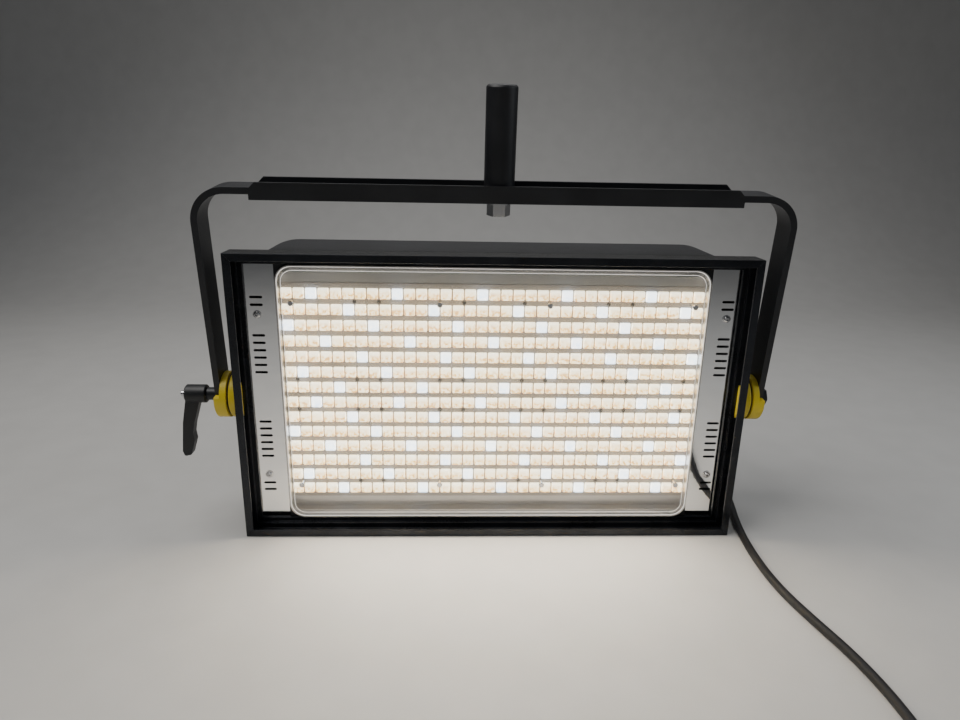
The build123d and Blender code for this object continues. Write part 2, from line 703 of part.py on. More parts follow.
# Right pivot: a shouldered bolt, fixed in the head.
COLLAR_START = LEG_IN + BAR_T + 0.3
with BuildPart() as pivot_bolt:
    with BuildSketch(side_plane(1, -NUT_IN - NUT_T - 2)):
        Circle(PIVOT_R)
    extrude(amount=NUT_IN + NUT_T + 2 + COLLAR_START)
    with BuildSketch(side_plane(1, COLLAR_START)):
        Circle(11)
    extrude(amount=1.6)
    with BuildSketch(side_plane(1, COLLAR_START + 1.6)):
        RegularPolygon(M10_FLATS / 2, 6, major_radius=False)
    extrude(amount=6.4)
save(pivot_bolt, "pivot_bolt_right")

# ---------------------------------------------------------------- yoke

with BuildPart() as yoke_bar:
    with BuildSketch(yoke_front_plane(-BAR_W / 2)):
        with Locations((0, BAR_TOP / 2 - 50)):
            RectangleRounded(YOKE_IN_W + 2 * BAR_T, BAR_TOP + 100, BEND_IN + BAR_T)
        with Locations((0, BAR_BOTTOM / 2 - 50)):
            RectangleRounded(YOKE_IN_W, BAR_BOTTOM + 100, BEND_IN, mode=Mode.SUBTRACT)
        with Locations((0, -100)):
            Rectangle(YOKE_IN_W + 4 * BAR_T, 200, mode=Mode.SUBTRACT)
    extrude(amount=-BAR_W)
    for side in (-1, 1):
        with BuildSketch(yoke_side_plane(side, LEG_IN)):
            Circle(BAR_W / 2)
        extrude(amount=BAR_T)
        with BuildSketch(yoke_side_plane(side, LEG_IN)):
            Circle(CLEAR_R)
        extrude(amount=BAR_T, mode=Mode.SUBTRACT)
    with BuildSketch(yoke_level_plane(BAR_BOTTOM)):
        Circle(STUD_R + 0.25)
    extrude(amount=BAR_T, mode=Mode.SUBTRACT)
save(yoke_bar, "yoke_bar")

FLANGE_TOP = BAR_TOP + CHANNEL_RISE
CHANNEL_HALF_W = BAR_W / 2 + 0.2
END_CUT = CHANNEL_L / 2 - CHANNEL_CUT
FLANGE_OUTLINE = [
    (-CHANNEL_L / 2, BAR_BOTTOM),
    (-CHANNEL_L / 2, FLANGE_TOP - CHANNEL_CUT),
    (-END_CUT, FLANGE_TOP),
    (END_CUT, FLANGE_TOP),
    (CHANNEL_L / 2, FLANGE_TOP - CHANNEL_CUT),
    (CHANNEL_L / 2, BAR_BOTTOM),
]
with BuildPart() as yoke_channel:
    with BuildSketch(yoke_level_plane(BAR_BOTTOM)):
        Rectangle(CHANNEL_L, 2 * (CHANNEL_HALF_W + CHANNEL_T))
        Circle(STUD_R + 0.25, mode=Mode.SUBTRACT)
    extrude(amount=-WEB_T)
    for offset in (-CHANNEL_HALF_W - CHANNEL_T, CHANNEL_HALF_W):
        with BuildSketch(yoke_front_plane(offset)):
            with BuildLine():
                Polyline(FLANGE_OUTLINE, close=True)
            make_face()
        extrude(amount=-CHANNEL_T)
save(yoke_channel, "yoke_channel")

with BuildPart() as spigot:
    with BuildSketch(yoke_level_plane(BAR_TOP)):
        Circle(SPIGOT_R)
    extrude(amount=SPIGOT_L)
    chamfer(spigot.edges().sort_by(Axis.Z)[-1], 1.8)
    with BuildSketch(yoke_level_plane(BAR_TOP)):
        Circle(STUD_R)
    extrude(amount=-(BAR_TOP - STUD_END))
save(spigot, "spigot")

WEB_BOTTOM = BAR_BOTTOM - WEB_T
WASHER_T = 2.5
SPIGOT_NUT_T = 10.8
with BuildPart() as spigot_washer:
    with BuildSketch(yoke_level_plane(WEB_BOTTOM)):
        Circle(12)
        Circle(STUD_R + 0.25, mode=Mode.SUBTRACT)
    extrude(amount=-WASHER_T)
save(spigot_washer, "spigot_washer")

with BuildPart() as spigot_nut:
    with BuildSketch(yoke_level_plane(WEB_BOTTOM - WASHER_T)):
        RegularPolygon(M12_FLATS / 2, 6, major_radius=False)
        Circle(STUD_R + RUNNING, mode=Mode.SUBTRACT)
    extrude(amount=-SPIGOT_NUT_T)
save(spigot_nut, "spigot_nut")

# ---------------------------------------------------------------- clamp lever

LEVER_SHANK_R = 2.5
SHOULDER_END = 47.0
SPRING_R = 3.2
SPRING_WIRE_R = 0.45

with BuildPart() as lever_stud:
    with BuildSketch(side_plane(-1, -NUT_IN - NUT_T - 2)):
        Circle(PIVOT_R)
    extrude(amount=NUT_IN + NUT_T + 2 + COLLAR_START)
    with BuildSketch(side_plane(-1, COLLAR_START)):
        Circle(COLLAR_R + 3.5)
    extrude(amount=1.6)
    with BuildSketch(side_plane(-1, COLLAR_START)):
        Circle(COLLAR_R)
    extrude(amount=COLLAR_OUT - COLLAR_START)
    with BuildSketch(side_plane(-1, COLLAR_OUT)):
        Circle(SPLINE_R)
    extrude(amount=SPLINE_END - COLLAR_OUT)
save(lever_stud, "lever_stud")

with BuildPart() as lever_screw:
    with BuildSketch(side_plane(-1, SPLINE_END)):
        Circle(LEVER_SHANK_R)
    extrude(amount=HUB_OUT - SPLINE_END)
    with BuildSketch(side_plane(-1, HUB_OUT)):
        Circle(LEVER_SCREW_R)
    extrude(amount=LEVER_SCREW_OUT - HUB_OUT)
    chamfer(lever_screw.edges().group_by(Axis.X)[0], 0.6)
    with BuildSketch(side_plane(-1, LEVER_SCREW_OUT)):
        RegularPolygon(1.5, 6)
    extrude(amount=-2.0, mode=Mode.SUBTRACT)
save(lever_screw, "lever_screw")

# Arm outline: distance outwards from the head's side, and height above the tilt axis.
ARM_OUTLINE = [
    (43.0, -6.0),
    (51.0, -32.0),
    (53.0, -42.0),
    (52.0, -50.0),
    (57.0, -66.0),
    (63.5, -67.5),
    (65.5, -62.0),
    (62.0, -30.0),
    (57.0, -5.0),
]
ARM_T = 10.0
with BuildPart() as clamp_lever:
    with BuildSketch(side_plane(-1, COLLAR_OUT + 0.3)):
        Circle(HUB_R)
    extrude(amount=HUB_OUT - COLLAR_OUT - 0.3)
    chamfer(clamp_lever.edges(), 1.2)
    arm_plane = Plane(origin=(-HALF_W, ARM_T / 2, HEAD_MID), x_dir=(-1, 0, 0), z_dir=(0, 1, 0))
    with BuildSketch(arm_plane):
        with BuildLine():
            Polyline(ARM_OUTLINE, close=True)
        make_face()
        fillet(vertices(), 1.6)
    extrude(amount=-ARM_T)
    with BuildSketch(side_plane(-1, COLLAR_OUT)):
        Circle(SPLINE_R + RUNNING)
    extrude(amount=SPLINE_END - COLLAR_OUT + 0.1, mode=Mode.SUBTRACT)
    with BuildSketch(side_plane(-1, SPLINE_END)):
        Circle(LEVER_SHANK_R + 0.35)
    extrude(amount=HUB_OUT - SPLINE_END, mode=Mode.SUBTRACT)
    with BuildSketch(side_plane(-1, SHOULDER_END)):
        Circle(4.3)
    extrude(amount=HUB_OUT + 12 - SHOULDER_END, mode=Mode.SUBTRACT)
save(clamp_lever, "clamp_lever")

SPRING_L = HUB_OUT - SHOULDER_END - 2 * SPRING_WIRE_R
SPRING_START = (-HALF_W - SHOULDER_END - SPRING_WIRE_R, 0, HEAD_MID)
with BuildPart() as lever_spring:
    with BuildLine() as coil_line:
        Helix(pitch=1.8, height=SPRING_L, radius=SPRING_R, center=SPRING_START, direction=(-1, 0, 0))
    with BuildSketch(Plane(origin=coil_line.line @ 0, z_dir=coil_line.line % 0)):
        Circle(SPRING_WIRE_R)
    sweep(path=coil_line.line, is_frenet=True)
save(lever_spring, "lever_spring")

# ---------------------------------------------------------------- power cord

GLAND_REAR = COVER_REAR - PIVOT_DEPTH + GLAND_FLANGE
RELIEF_END = GLAND_REAR + RELIEF_L


def gland_plane(y):
    """Plane square to the cord's exit, facing to the back."""
    return Plane(origin=(GLAND_X, y, GLAND_Z), x_dir=(1, 0, 0), z_dir=(0, 1, 0))


with BuildPart() as strain_relief:
    with BuildSketch(gland_plane(COVER_REAR - PIVOT_DEPTH)):
        Circle(13)
    extrude(amount=GLAND_FLANGE)
    fillet(strain_relief.edges().group_by(Axis.Y)[-1], 1.5)
    with BuildSketch(gland_plane(COVER_REAR - PIVOT_DEPTH)):
        Circle(8)
    extrude(amount=-12)
    with BuildSketch(gland_plane(GLAND_REAR)):
        Circle(8)
    with BuildSketch(gland_plane(RELIEF_END)):
        Circle(5)
    loft()
save(strain_relief, "strain_relief")

# The route is a list of points chosen by hand; it ends at the coil.
CORD_ROUTE = [
    (GLAND_X, RELIEF_END, GLAND_Z),
    (GLAND_X, 167, GLAND_Z),
    (219, 197, 20),
    (261, 196, 8),
    (291, 168, FLOOR_Z),
    (294, 110, FLOOR_Z),
    (284, 45, FLOOR_Z),
    (269, -18, FLOOR_Z),
    (263, -78, FLOOR_Z),
    (265, -130, FLOOR_Z),
    (275, -175, FLOOR_Z),
    (286, -218, FLOOR_Z),
    (291, -262, FLOOR_Z),
    (290, -305, FLOOR_Z),
    (COIL_X + COIL_MEAN_R + 1.0, COIL_Y + 14, FLOOR_Z),
]


def corner_radii(points):
    """Largest tangent arc at each inner point: 0.45 of the shorter run over tan(half the turn)."""
    radii = []
    for before, here, after in zip(points, points[1:], points[2:]):
        run_in = Vector(*here) - Vector(*before)
        run_out = Vector(*after) - Vector(*here)
        turn = run_in.get_angle(run_out)
        radii.append(0.45 * min(run_in.length, run_out.length) / tan(radians(turn / 2)))
    return radii


cord_radii = corner_radii(CORD_ROUTE)
print("cord radii", [round(r, 1) for r in cord_radii])
with BuildPart() as cord:
    with BuildLine() as cord_path:
        FilletPolyline(*CORD_ROUTE, radius=cord_radii)
    with BuildSketch(Plane(origin=cord_path.line @ 0, z_dir=cord_path.line % 0)):
        Circle(CORD_R)
    sweep(path=cord_path.line)
    with BuildSketch(Plane(origin=PLUG_AT, z_dir=(1, 0, 0))):
        Circle(CORD_R)
    extrude(amount=CORD_TAIL)
cord_length = cord_path.wire().length
tube_volume = pi * CORD_R**2 * (cord_length + CORD_TAIL)
print("cord tube length", round(cord_length, 1), "volume ratio", round(cord.part.volume / tube_volume, 4))
save(cord, "power_cord")

with BuildPart() as coil:
    with BuildSketch(Plane(origin=(COIL_X, COIL_Y, 0.1))):
        Circle(COIL_MEAN_R + COIL_HALF_W)
        Circle(COIL_MEAN_R - COIL_HALF_W, mode=Mode.SUBTRACT)
    extrude(amount=COIL_H)
    fillet(coil.edges(), 3.5)
save(coil, "power_cord_coil")

# Moulded plug, lying beside the coil in line with the last turn.
PLUG_R = 17.9
PLUG_TAIL_R = 5.0
PLUG_FACE = 62.0
PLUG_PROFILE = [
    (0, 0),
    (PLUG_TAIL_R, 0),
    (6.5, 28),
    (12, 36),
    (PLUG_R, 46),
    (PLUG_R, PLUG_FACE),
    (0, PLUG_FACE),
]
with BuildPart() as plug:
    with BuildSketch(Plane(origin=PLUG_AT, x_dir=(0, 1, 0), z_dir=(0, 0, 1))):
        with BuildLine():
            Polyline(PLUG_PROFILE, close=True)
        make_face()
    revolve(axis=Axis(PLUG_AT, (-1, 0, 0)))
save(plug, "mains_plug")

PIN_R = 2.4
PIN_L = 19.0
PIN_SPREAD = 19.0
plug_front = Vector(*PLUG_AT) - Vector(PLUG_FACE, 0, 0)
with BuildPart() as pins:
    with BuildSketch(Plane(origin=plug_front, x_dir=(0, 1, 0), z_dir=(-1, 0, 0))):
        with GridLocations(PIN_SPREAD, 0, 2, 1):
            Circle(PIN_R)
    extrude(amount=PIN_L)
    fillet(pins.edges().group_by(Axis.X)[0], 1.0)
save(pins, "plug_pins")
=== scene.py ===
import json
from math import cos, pi, radians, sin

import bmesh
import bpy
from mathutils import Matrix, Vector


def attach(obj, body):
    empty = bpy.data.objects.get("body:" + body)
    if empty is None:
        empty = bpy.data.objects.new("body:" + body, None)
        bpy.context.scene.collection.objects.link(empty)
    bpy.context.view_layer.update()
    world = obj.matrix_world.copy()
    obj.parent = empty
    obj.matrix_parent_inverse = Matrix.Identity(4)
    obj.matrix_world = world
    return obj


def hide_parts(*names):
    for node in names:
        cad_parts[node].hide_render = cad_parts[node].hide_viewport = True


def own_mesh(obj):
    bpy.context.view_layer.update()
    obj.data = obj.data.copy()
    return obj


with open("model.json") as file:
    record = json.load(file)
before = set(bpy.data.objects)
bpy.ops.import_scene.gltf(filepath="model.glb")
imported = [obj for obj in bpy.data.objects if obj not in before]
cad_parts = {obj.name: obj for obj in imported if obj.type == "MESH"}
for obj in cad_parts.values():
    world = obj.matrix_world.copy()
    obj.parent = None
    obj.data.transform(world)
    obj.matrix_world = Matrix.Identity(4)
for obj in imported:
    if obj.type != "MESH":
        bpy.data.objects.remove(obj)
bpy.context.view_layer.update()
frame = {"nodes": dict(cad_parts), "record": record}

BODIES = frame["record"]["behaviour"]["bodies"]
BODY_OF = {node: body for body, nodes in BODIES.items() for node in nodes}
SLOT_OF = {part["node"]: part["material_slot"] for part in frame["record"]["subparts"]}

MM = 0.001
HEAD_HALF_W = 254 * MM
HEAD_MID = 147.5 * MM
PITCH_X = 12.0 * MM
PITCH_Z = 16.2 * MM
FRONT_Y = -30 * MM
FLOOR_GAP = 0.0001


# ------------------------------------------------------------------ camera, lights and world

camera = bpy.data.objects.new("camera", bpy.data.cameras.new("camera"))
camera.data.lens = 25.875
camera.data.sensor_width = 36
right = Vector((0.99916, -0.0361, 0.0190))
up = Vector((-0.0076, 0.2988, 0.9543))
camera.matrix_world = Matrix.Translation((-0.04147, -0.6689, 0.3945)) @ Matrix(
    (right, up, right.cross(up))
).transposed().to_4x4()
bpy.context.collection.objects.link(camera)
bpy.context.scene.camera = camera


def add_light(name, place, target, size, watts, color, spread=180):
    """A soft rectangular light at place, turned to target."""
    lamp = bpy.data.lights.new(name, "AREA")
    lamp.shape = "RECTANGLE"
    lamp.size, lamp.size_y = size
    lamp.energy = watts
    lamp.color = color
    lamp.spread = radians(spread)
    obj = bpy.data.objects.new(name, lamp)
    obj.location = place
    obj.rotation_euler = (Vector(target) - Vector(place)).to_track_quat("-Z", "Y").to_euler()
    bpy.context.collection.objects.link(obj)
    return obj


add_light("key", (-0.7, -0.25, 1.5), (0, 0, 0.1), (1.1, 0.9), 6.5, (1.0, 0.98, 0.95), 120)
add_light("fill", (1.3, -0.3, 0.8), (0, 0, 0.2), (0.8, 0.9), 2.2, (0.90, 0.95, 1.0), 140)
add_light("rear", (0.1, 1.0, 1.7), (0, 0.1, 0.2), (1.6, 0.7), 6, (1.0, 1.0, 1.0), 150)
# The panel's own light on the floor; the lenses' own glow is kept low enough to show their colours.
glow = add_light("glow", (0, -0.0135, HEAD_MID), (0, -1, HEAD_MID), (0.40, 0.22), 1.6, (1.0, 0.93, 0.82))
glow.visible_camera = False
glow.visible_glossy = False

world = bpy.data.worlds.new("studio")
bpy.context.scene.world = world
world.use_nodes = True
world.node_tree.nodes["Background"].inputs["Color"].default_value = (0.5, 0.53, 0.58, 1)
world.node_tree.nodes["Background"].inputs["Strength"].default_value = 0.12


# ------------------------------------------------------------------ materials


class Look:
    """Builds one procedural material on the Principled shader, in object coordinates."""

    def __init__(self, name, **sockets):
        self.material = bpy.data.materials.new(name)
        self.material.use_nodes = True
        self.tree = self.material.node_tree
        self.shader = self.tree.nodes["Principled BSDF"]
        for socket, value in sockets.items():
            self.shader.inputs[socket.replace("_", " ")].default_value = value
        self.place = self.node("ShaderNodeTexCoord").outputs["Object"]

    def node(self, kind, **settings):
        made = self.tree.nodes.new(kind)
        for key, value in settings.items():
            setattr(made, key, value)
        return made

    def join(self, source, target):
        self.tree.links.new(source, target)

    def scaled(self, factors, shift=(0, 0, 0)):
        """Object coordinates times factors, then moved by shift."""
        mapping = self.node("ShaderNodeMapping")
        mapping.inputs["Scale"].default_value = factors
        mapping.inputs["Location"].default_value = shift
        self.join(self.place, mapping.inputs["Vector"])
        return mapping.outputs["Vector"]

    def noise(self, scale, detail, stretch=(1, 1, 1)):
        made = self.node("ShaderNodeTexNoise")
        made.inputs["Scale"].default_value = scale
        made.inputs["Detail"].default_value = detail
        self.join(self.scaled(stretch), made.inputs["Vector"])
        return made.outputs["Fac"]

    def ramp(self, factor, *stops):
        """Colour ramp; each stop is (position, (r, g, b))."""
        made = self.node("ShaderNodeValToRGB")
        elements = made.color_ramp.elements
        while len(elements) < len(stops):
            elements.new(0.5)
        for element, (position, color) in zip(elements, stops):
            element.position = position
            element.color = (*color, 1)
        self.join(factor, made.inputs["Fac"])
        return made.outputs["Color"]

    def spread(self, factor, low, high):
        """Maps the middle of a noise to low..high."""
        made = self.node("ShaderNodeMapRange")
        made.inputs["From Min"].default_value = 0.3
        made.inputs["From Max"].default_value = 0.7
        made.inputs["To Min"].default_value = low
        made.inputs["To Max"].default_value = high
        self.join(factor, made.inputs["Value"])
        return made.outputs["Result"]

    def mix(self, factor, a, b):
        """Colours a and b mixed by factor; b may be one plain (r, g, b)."""
        made = self.node("ShaderNodeMix", data_type="RGBA")
        self.join(factor, made.inputs[0])
        self.join(a, made.inputs[6])
        if isinstance(b, tuple):
            made.inputs[7].default_value = (*b, 1)
        else:
            self.join(b, made.inputs[7])
        return made.outputs[2]

    def bump(self, height, distance):
        made = self.node("ShaderNodeBump")
        made.inputs["Strength"].default_value = 0.6
        made.inputs["Distance"].default_value = distance
        self.join(height, made.inputs["Height"])
        self.join(made.outputs["Normal"], self.shader.inputs["Normal"])

    def finish(self, color, rough, grain, depth, variation, stretch=(1, 1, 1)):
        """Colour that drifts by variation, roughness between two limits, and a grain of some depth."""
        broad = self.noise(22, 4)
        fine = self.noise(grain, 5, stretch)
        dark = tuple(c * (1 - variation) for c in color)
        light = tuple(min(1, c * (1 + variation)) for c in color)
        self.join(self.ramp(broad, (0.35, dark), (0.65, light)), self.shader.inputs["Base Color"])
        self.join(self.spread(self.average(broad, fine), *rough), self.shader.inputs["Roughness"])
        self.bump(fine, depth)
        return self.material

    def average(self, a, b):
        made = self.node("ShaderNodeMath", operation="MULTIPLY_ADD")
        made.inputs[1].default_value = 0.5
        self.join(a, made.inputs[0])
        half = self.node("ShaderNodeMath", operation="MULTIPLY")
        half.inputs[1].default_value = 0.5
        self.join(b, half.inputs[0])
        self.join(half.outputs[0], made.inputs[2])
        return made.outputs[0]


def lens_material(name, stops, white, strength):
    """A lit lens: white along its upper edge, with mottled phosphor colours lower down."""
    look = Look(name, Emission_Strength=strength, Roughness=0.12, Coat_Weight=0.6)
    cell = look.node("ShaderNodeVectorMath", operation="FRACTION")
    pitch = (1 / PITCH_X, 1, 1 / PITCH_Z)
    look.join(look.scaled(pitch, (0.5, 0, -HEAD_MID * pitch[2])), cell.inputs[0])
    height = look.node("ShaderNodeSeparateXYZ")
    look.join(cell.outputs[0], height.inputs[0])
    first, second = (look.ramp(look.noise(420, 2), *group) for group in stops)
    patches = look.mix(look.noise(9, 2), first, second)
    top = look.ramp(height.outputs["Z"], (0.46, (0, 0, 0)), (0.74, (1, 1, 1)))
    lit = look.mix(top, patches, white)
    look.join(lit, look.shader.inputs["Emission Color"])
    look.join(lit, look.shader.inputs["Base Color"])
    return look.material


CREAM = (1.0, 0.76, 0.36)
YELLOW = (0.56, 0.34, 0.05)
PINK = (0.66, 0.32, 0.16)
WARM_STOPS = (
    ((0.38, YELLOW), (0.50, CREAM), (0.60, (1.0, 0.90, 0.66))),
    ((0.40, PINK), (0.52, CREAM), (0.62, (1.0, 0.86, 0.66))),
)
COOL_STOPS = (
    ((0.38, (0.62, 0.84, 0.95)), (0.52, (0.86, 0.96, 1.0)), (0.62, (1, 1, 1))),
    ((0.40, (0.70, 0.76, 0.98)), (0.52, (0.90, 0.96, 1.0)), (0.64, (1, 1, 1))),
)

ALONG_Z = (1, 1, 0.05)
ALONG_X = (0.04, 1, 1)
LOOKS = {
    "frame_black": Look("frame_anodised", Metallic=0.55).finish(
        (0.020, 0.022, 0.027), rough=(0.20, 0.36), grain=1800, depth=0.00001, variation=0.25
    ),
    "mirror_plate": Look("mirror_sheet", Metallic=1.0).finish(
        (0.92, 0.93, 0.94), rough=(0.02, 0.06), grain=24, depth=0.0002, variation=0.02
    ),
    "tray_aluminium": Look("tray_sheet", Metallic=1.0).finish(
        (0.60, 0.58, 0.56), rough=(0.30, 0.40), grain=2400, depth=0.000001, variation=0.04, stretch=ALONG_X
    ),
    "chassis_black": Look("powder_coat", Metallic=0.1).finish(
        (0.018, 0.019, 0.022), rough=(0.42, 0.60), grain=1500, depth=0.00006, variation=0.25
    ),
    "sink_aluminium": Look("sink_aluminium", Metallic=1.0).finish(
        (0.55, 0.56, 0.57), rough=(0.28, 0.42), grain=1200, depth=0.00002, variation=0.08, stretch=ALONG_Z
    ),
    "screw_steel": Look("bright_zinc", Metallic=1.0).finish(
        (0.66, 0.66, 0.67), rough=(0.16, 0.32), grain=2200, depth=0.00001, variation=0.10
    ),
    "zinc_steel": Look("zinc_plate", Metallic=1.0).finish(
        (0.46, 0.46, 0.48), rough=(0.24, 0.40), grain=1400, depth=0.00002, variation=0.12
    ),
    "board_white": Look("solder_mask").finish(
        (0.36, 0.33, 0.31), rough=(0.30, 0.46), grain=700, depth=0.00002, variation=0.12
    ),
    "lens_warm": lens_material("lens_warm", WARM_STOPS, (1.0, 0.92, 0.70), 3.4),
    "lens_cool": lens_material("lens_cool", COOL_STOPS, (0.88, 0.96, 1.0), 4.5),
    "clear_plastic": Look("clear_sheet", Alpha=0.10, IOR=1.49).finish(
        (0.92, 0.95, 0.97), rough=(0.02, 0.06), grain=30, depth=0.00002, variation=0.02
    ),
    "supply_case": Look("supply_case", Metallic=1.0).finish(
        (0.50, 0.50, 0.50), rough=(0.30, 0.46), grain=900, depth=0.00002, variation=0.10
    ),
    "circuit_board": Look("circuit_board", Coat_Weight=0.3).finish(
        (0.03, 0.16, 0.06), rough=(0.30, 0.46), grain=260, depth=0.00005, variation=0.30
    ),
    "panel_black": Look("moulded_panel").finish(
        (0.040, 0.041, 0.045), rough=(0.44, 0.60), grain=2000, depth=0.00004, variation=0.2
    ),
    "socket_nickel": Look("socket_nickel", Metallic=1.0).finish(
        (0.55, 0.54, 0.52), rough=(0.20, 0.34), grain=1600, depth=0.00001, variation=0.1
    ),
    "display_glass": Look("display_window", Coat_Weight=0.8).finish(
        (0.012, 0.020, 0.026), rough=(0.06, 0.12), grain=40, depth=0.00001, variation=0.1
    ),
    "button_grey": Look("button_caps").finish(
        (0.17, 0.17, 0.18), rough=(0.50, 0.66), grain=1800, depth=0.00003, variation=0.12
    ),
    "rocker_black": Look("rocker_gloss", Coat_Weight=0.4).finish(
        (0.015, 0.015, 0.016), rough=(0.16, 0.26), grain=600, depth=0.00001, variation=0.2
    ),
    "yellow_plastic": Look("yellow_nylon").finish(
        (0.78, 0.60, 0.03), rough=(0.36, 0.54), grain=1500, depth=0.00005, variation=0.10
    ),
    "friction_fibre": Look("friction_fibre").finish(
        (0.040, 0.030, 0.012), rough=(0.70, 0.86), grain=1600, depth=0.00008, variation=0.3
    ),
    "yoke_black": Look("yoke_coat", Metallic=0.1).finish(
        (0.014, 0.015, 0.018), rough=(0.34, 0.52), grain=1300, depth=0.00005, variation=0.25
    ),
    "lever_black": Look("lever_nylon").finish(
        (0.014, 0.015, 0.017), rough=(0.36, 0.52), grain=1700, depth=0.00005, variation=0.2
    ),
    "cord_black": Look("cord_rubber").finish(
        (0.012, 0.012, 0.013), rough=(0.42, 0.58), grain=900, depth=0.00003, variation=0.2
    ),
    "pin_brass": Look("nickel_pins", Metallic=1.0).finish(
        (0.62, 0.58, 0.50), rough=(0.18, 0.30), grain=1800, depth=0.00001, variation=0.06
    ),
}
SCREW_DARK = Look("dark_screws", Metallic=0.8).finish(
    (0.10, 0.09, 0.08), rough=(0.30, 0.44), grain=1800, depth=0.00001, variation=0.2
)
TIE_CLOTH = Look("tie_cloth", Sheen_Weight=0.4).finish(
    (0.020, 0.020, 0.022), rough=(0.80, 0.92), grain=2600, depth=0.00015, variation=0.3
)
FLOOR_LOOK = Look("pale_paper").finish(
    (0.62, 0.61, 0.59), rough=(0.62, 0.74), grain=300, depth=0.00006, variation=0.02
)

for node, obj in frame["nodes"].items():
    for material_slot in obj.material_slots:
        material_slot.material = LOOKS[SLOT_OF[node]]


# ------------------------------------------------------------------ helpers for pieces


def add_mesh(name, verts, faces):
    """A new mesh object in the scene, with its normals pointing outward."""
    mesh = bpy.data.meshes.new(name)
    mesh.from_pydata([tuple(v) for v in verts], [], faces)
    shaped = bmesh.new()
    shaped.from_mesh(mesh)
    bmesh.ops.recalc_face_normals(shaped, faces=shaped.faces)
    shaped.to_mesh(mesh)
    shaped.free()
    mesh.polygons.foreach_set("use_smooth", [True] * len(mesh.polygons))
    obj = bpy.data.objects.new(name, mesh)
    bpy.context.collection.objects.link(obj)
    return obj


def dress(obj, body, slot, material=None):
    """Gives a piece its body and its material: the one passed in, or else the look of its material slot in
    the record.
    """
    obj.data.materials.clear()
    obj.data.materials.append(material or LOOKS[slot])
    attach(obj, body)
    return obj


def softened(node, width, segments=2):
    """A copy of a CAD node with its sharp edges rounded, which stands for the node."""
    shaped = bmesh.new()
    shaped.from_mesh(frame["nodes"][node].data)
    bmesh.ops.remove_doubles(shaped, verts=shaped.verts, dist=0.000002)
    bmesh.ops.dissolve_limit(shaped, angle_limit=radians(0.6), verts=shaped.verts, edges=shaped.edges)
    shaped.verts.index_update()
    verts = [v.co.copy() for v in shaped.verts]
    faces = [[v.index for v in f.verts] for f in shaped.faces]
    shaped.free()
    obj = add_mesh(f"{node}_soft", verts, faces)
    bevel = obj.modifiers.new("edges", "BEVEL")
    bevel.width = width
    bevel.segments = segments
    bevel.limit_method = "ANGLE"
    bevel.angle_limit = radians(32)
    bevel.harden_normals = True
    dress(obj, BODY_OF[node], SLOT_OF[node])
    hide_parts(node)
    return obj


CORNERS = ((1, 1, 0), (-1, 1, 90), (-1, -1, 180), (1, -1, 270))


def rounded_outline(half_w, half_h, corner, steps):
    """Points (x, z, outward x, outward z) around a rounded rectangle, counter-clockwise."""
    outline = []
    for side, level, first in CORNERS:
        for part in range(steps + 1):
            turn = radians(first + part * 90 / steps)
            out_x, out_z = cos(turn), sin(turn)
            x = side * (half_w - corner) + corner * out_x
            z = level * (half_h - corner) + corner * out_z
            outline.append((x, z, out_x, out_z))
    return outline


def ring_faces(rings, sides, base=0, closed=False):
    """Four-sided faces between neighbouring rings of points; closed joins the last to the first."""
    faces = []
    for ring in range(rings if closed else rings - 1):
        here = base + ring * sides
        beyond = base + (ring + 1) % rings * sides
        for i in range(sides):
            beside = (i + 1) % sides
            faces.append((here + i, here + beside, beyond + beside, beyond + i))
    return faces


def turned(name, places, axis, profile, sides):
    """Bodies of revolution, one at each place: profile is (mm along the axis, radius in mm)."""
    axis = Vector(axis).normalized()
    across = axis.orthogonal().normalized()
    other = axis.cross(across)
    verts, faces = [], []
    for place in places:
        base = len(verts)
        for along, radius in profile:
            for i in range(sides):
                turn = 2 * pi * i / sides
                offset = across * (radius * MM * cos(turn)) + other * (radius * MM * sin(turn))
                verts.append(Vector(place) + axis * (along * MM) + offset)
        faces += ring_faces(len(profile), sides, base)
        faces.append([base + i for i in range(sides)])
        faces.append([base + (len(profile) - 1) * sides + i for i in range(sides)])
    return add_mesh(name, verts, faces)


def sharpen(obj):
    """Keeps the edges of a turned or swept piece crisp where they bend sharply."""
    obj.data.set_sharp_from_angle(angle=radians(40))


# ------------------------------------------------------------------ mains cord

CORD_D = 8 * MM
CORD_ROUTE = [
    (0.190, 0.117, 0.034),
    (0.190, 0.167, 0.034),
    (0.219, 0.197, 0.020),
    (0.261, 0.196, 0.008),
    (0.291, 0.168, 0.0041),
    (0.294, 0.110, 0.0041),
    (0.284, 0.045, 0.0041),
    (0.269, -0.018, 0.0041),
    (0.263, -0.078, 0.0041),
    (0.265, -0.130, 0.0041),
    (0.275, -0.175, 0.0041),
    (0.286, -0.218, 0.0041),
    (0.291, -0.262, 0.0041),
    (0.290, -0.305, 0.0041),
    (0.288, -0.352, 0.0041),
]
COIL_CENTRE = Vector((0.243, -0.366, 0))
PLUG_AT = Vector((0.211, -0.414, 0.018))
# The last points of the cord, measured from the place where it enters the plug.
CORD_TAIL = [(0.030, 0, 0.0024), (0.015, 0, 0.0022), (0.006, 0, 0.0004), (0, 0, 0)]
OUTER, INNER = 48.1 * MM, 39.9 * MM
LAYERS = (4.1 * MM, 12.25 * MM, 20.35 * MM)
COIL_START = 18
PER_TURN = 16
# Turned angle, radius and height where each stretch of the winding begins or ends.
WINDING = [
    (0, OUTER, LAYERS[0]),
    (300, OUTER, LAYERS[0]),
    (360, INNER, LAYERS[0]),
    (598, INNER, LAYERS[0]),
    (653, INNER, LAYERS[1]),
    (903, INNER, LAYERS[1]),
    (953, OUTER, LAYERS[1]),
    (1208, OUTER, LAYERS[1]),
    (1258, OUTER, LAYERS[2]),
    (1548, OUTER, LAYERS[2]),
]


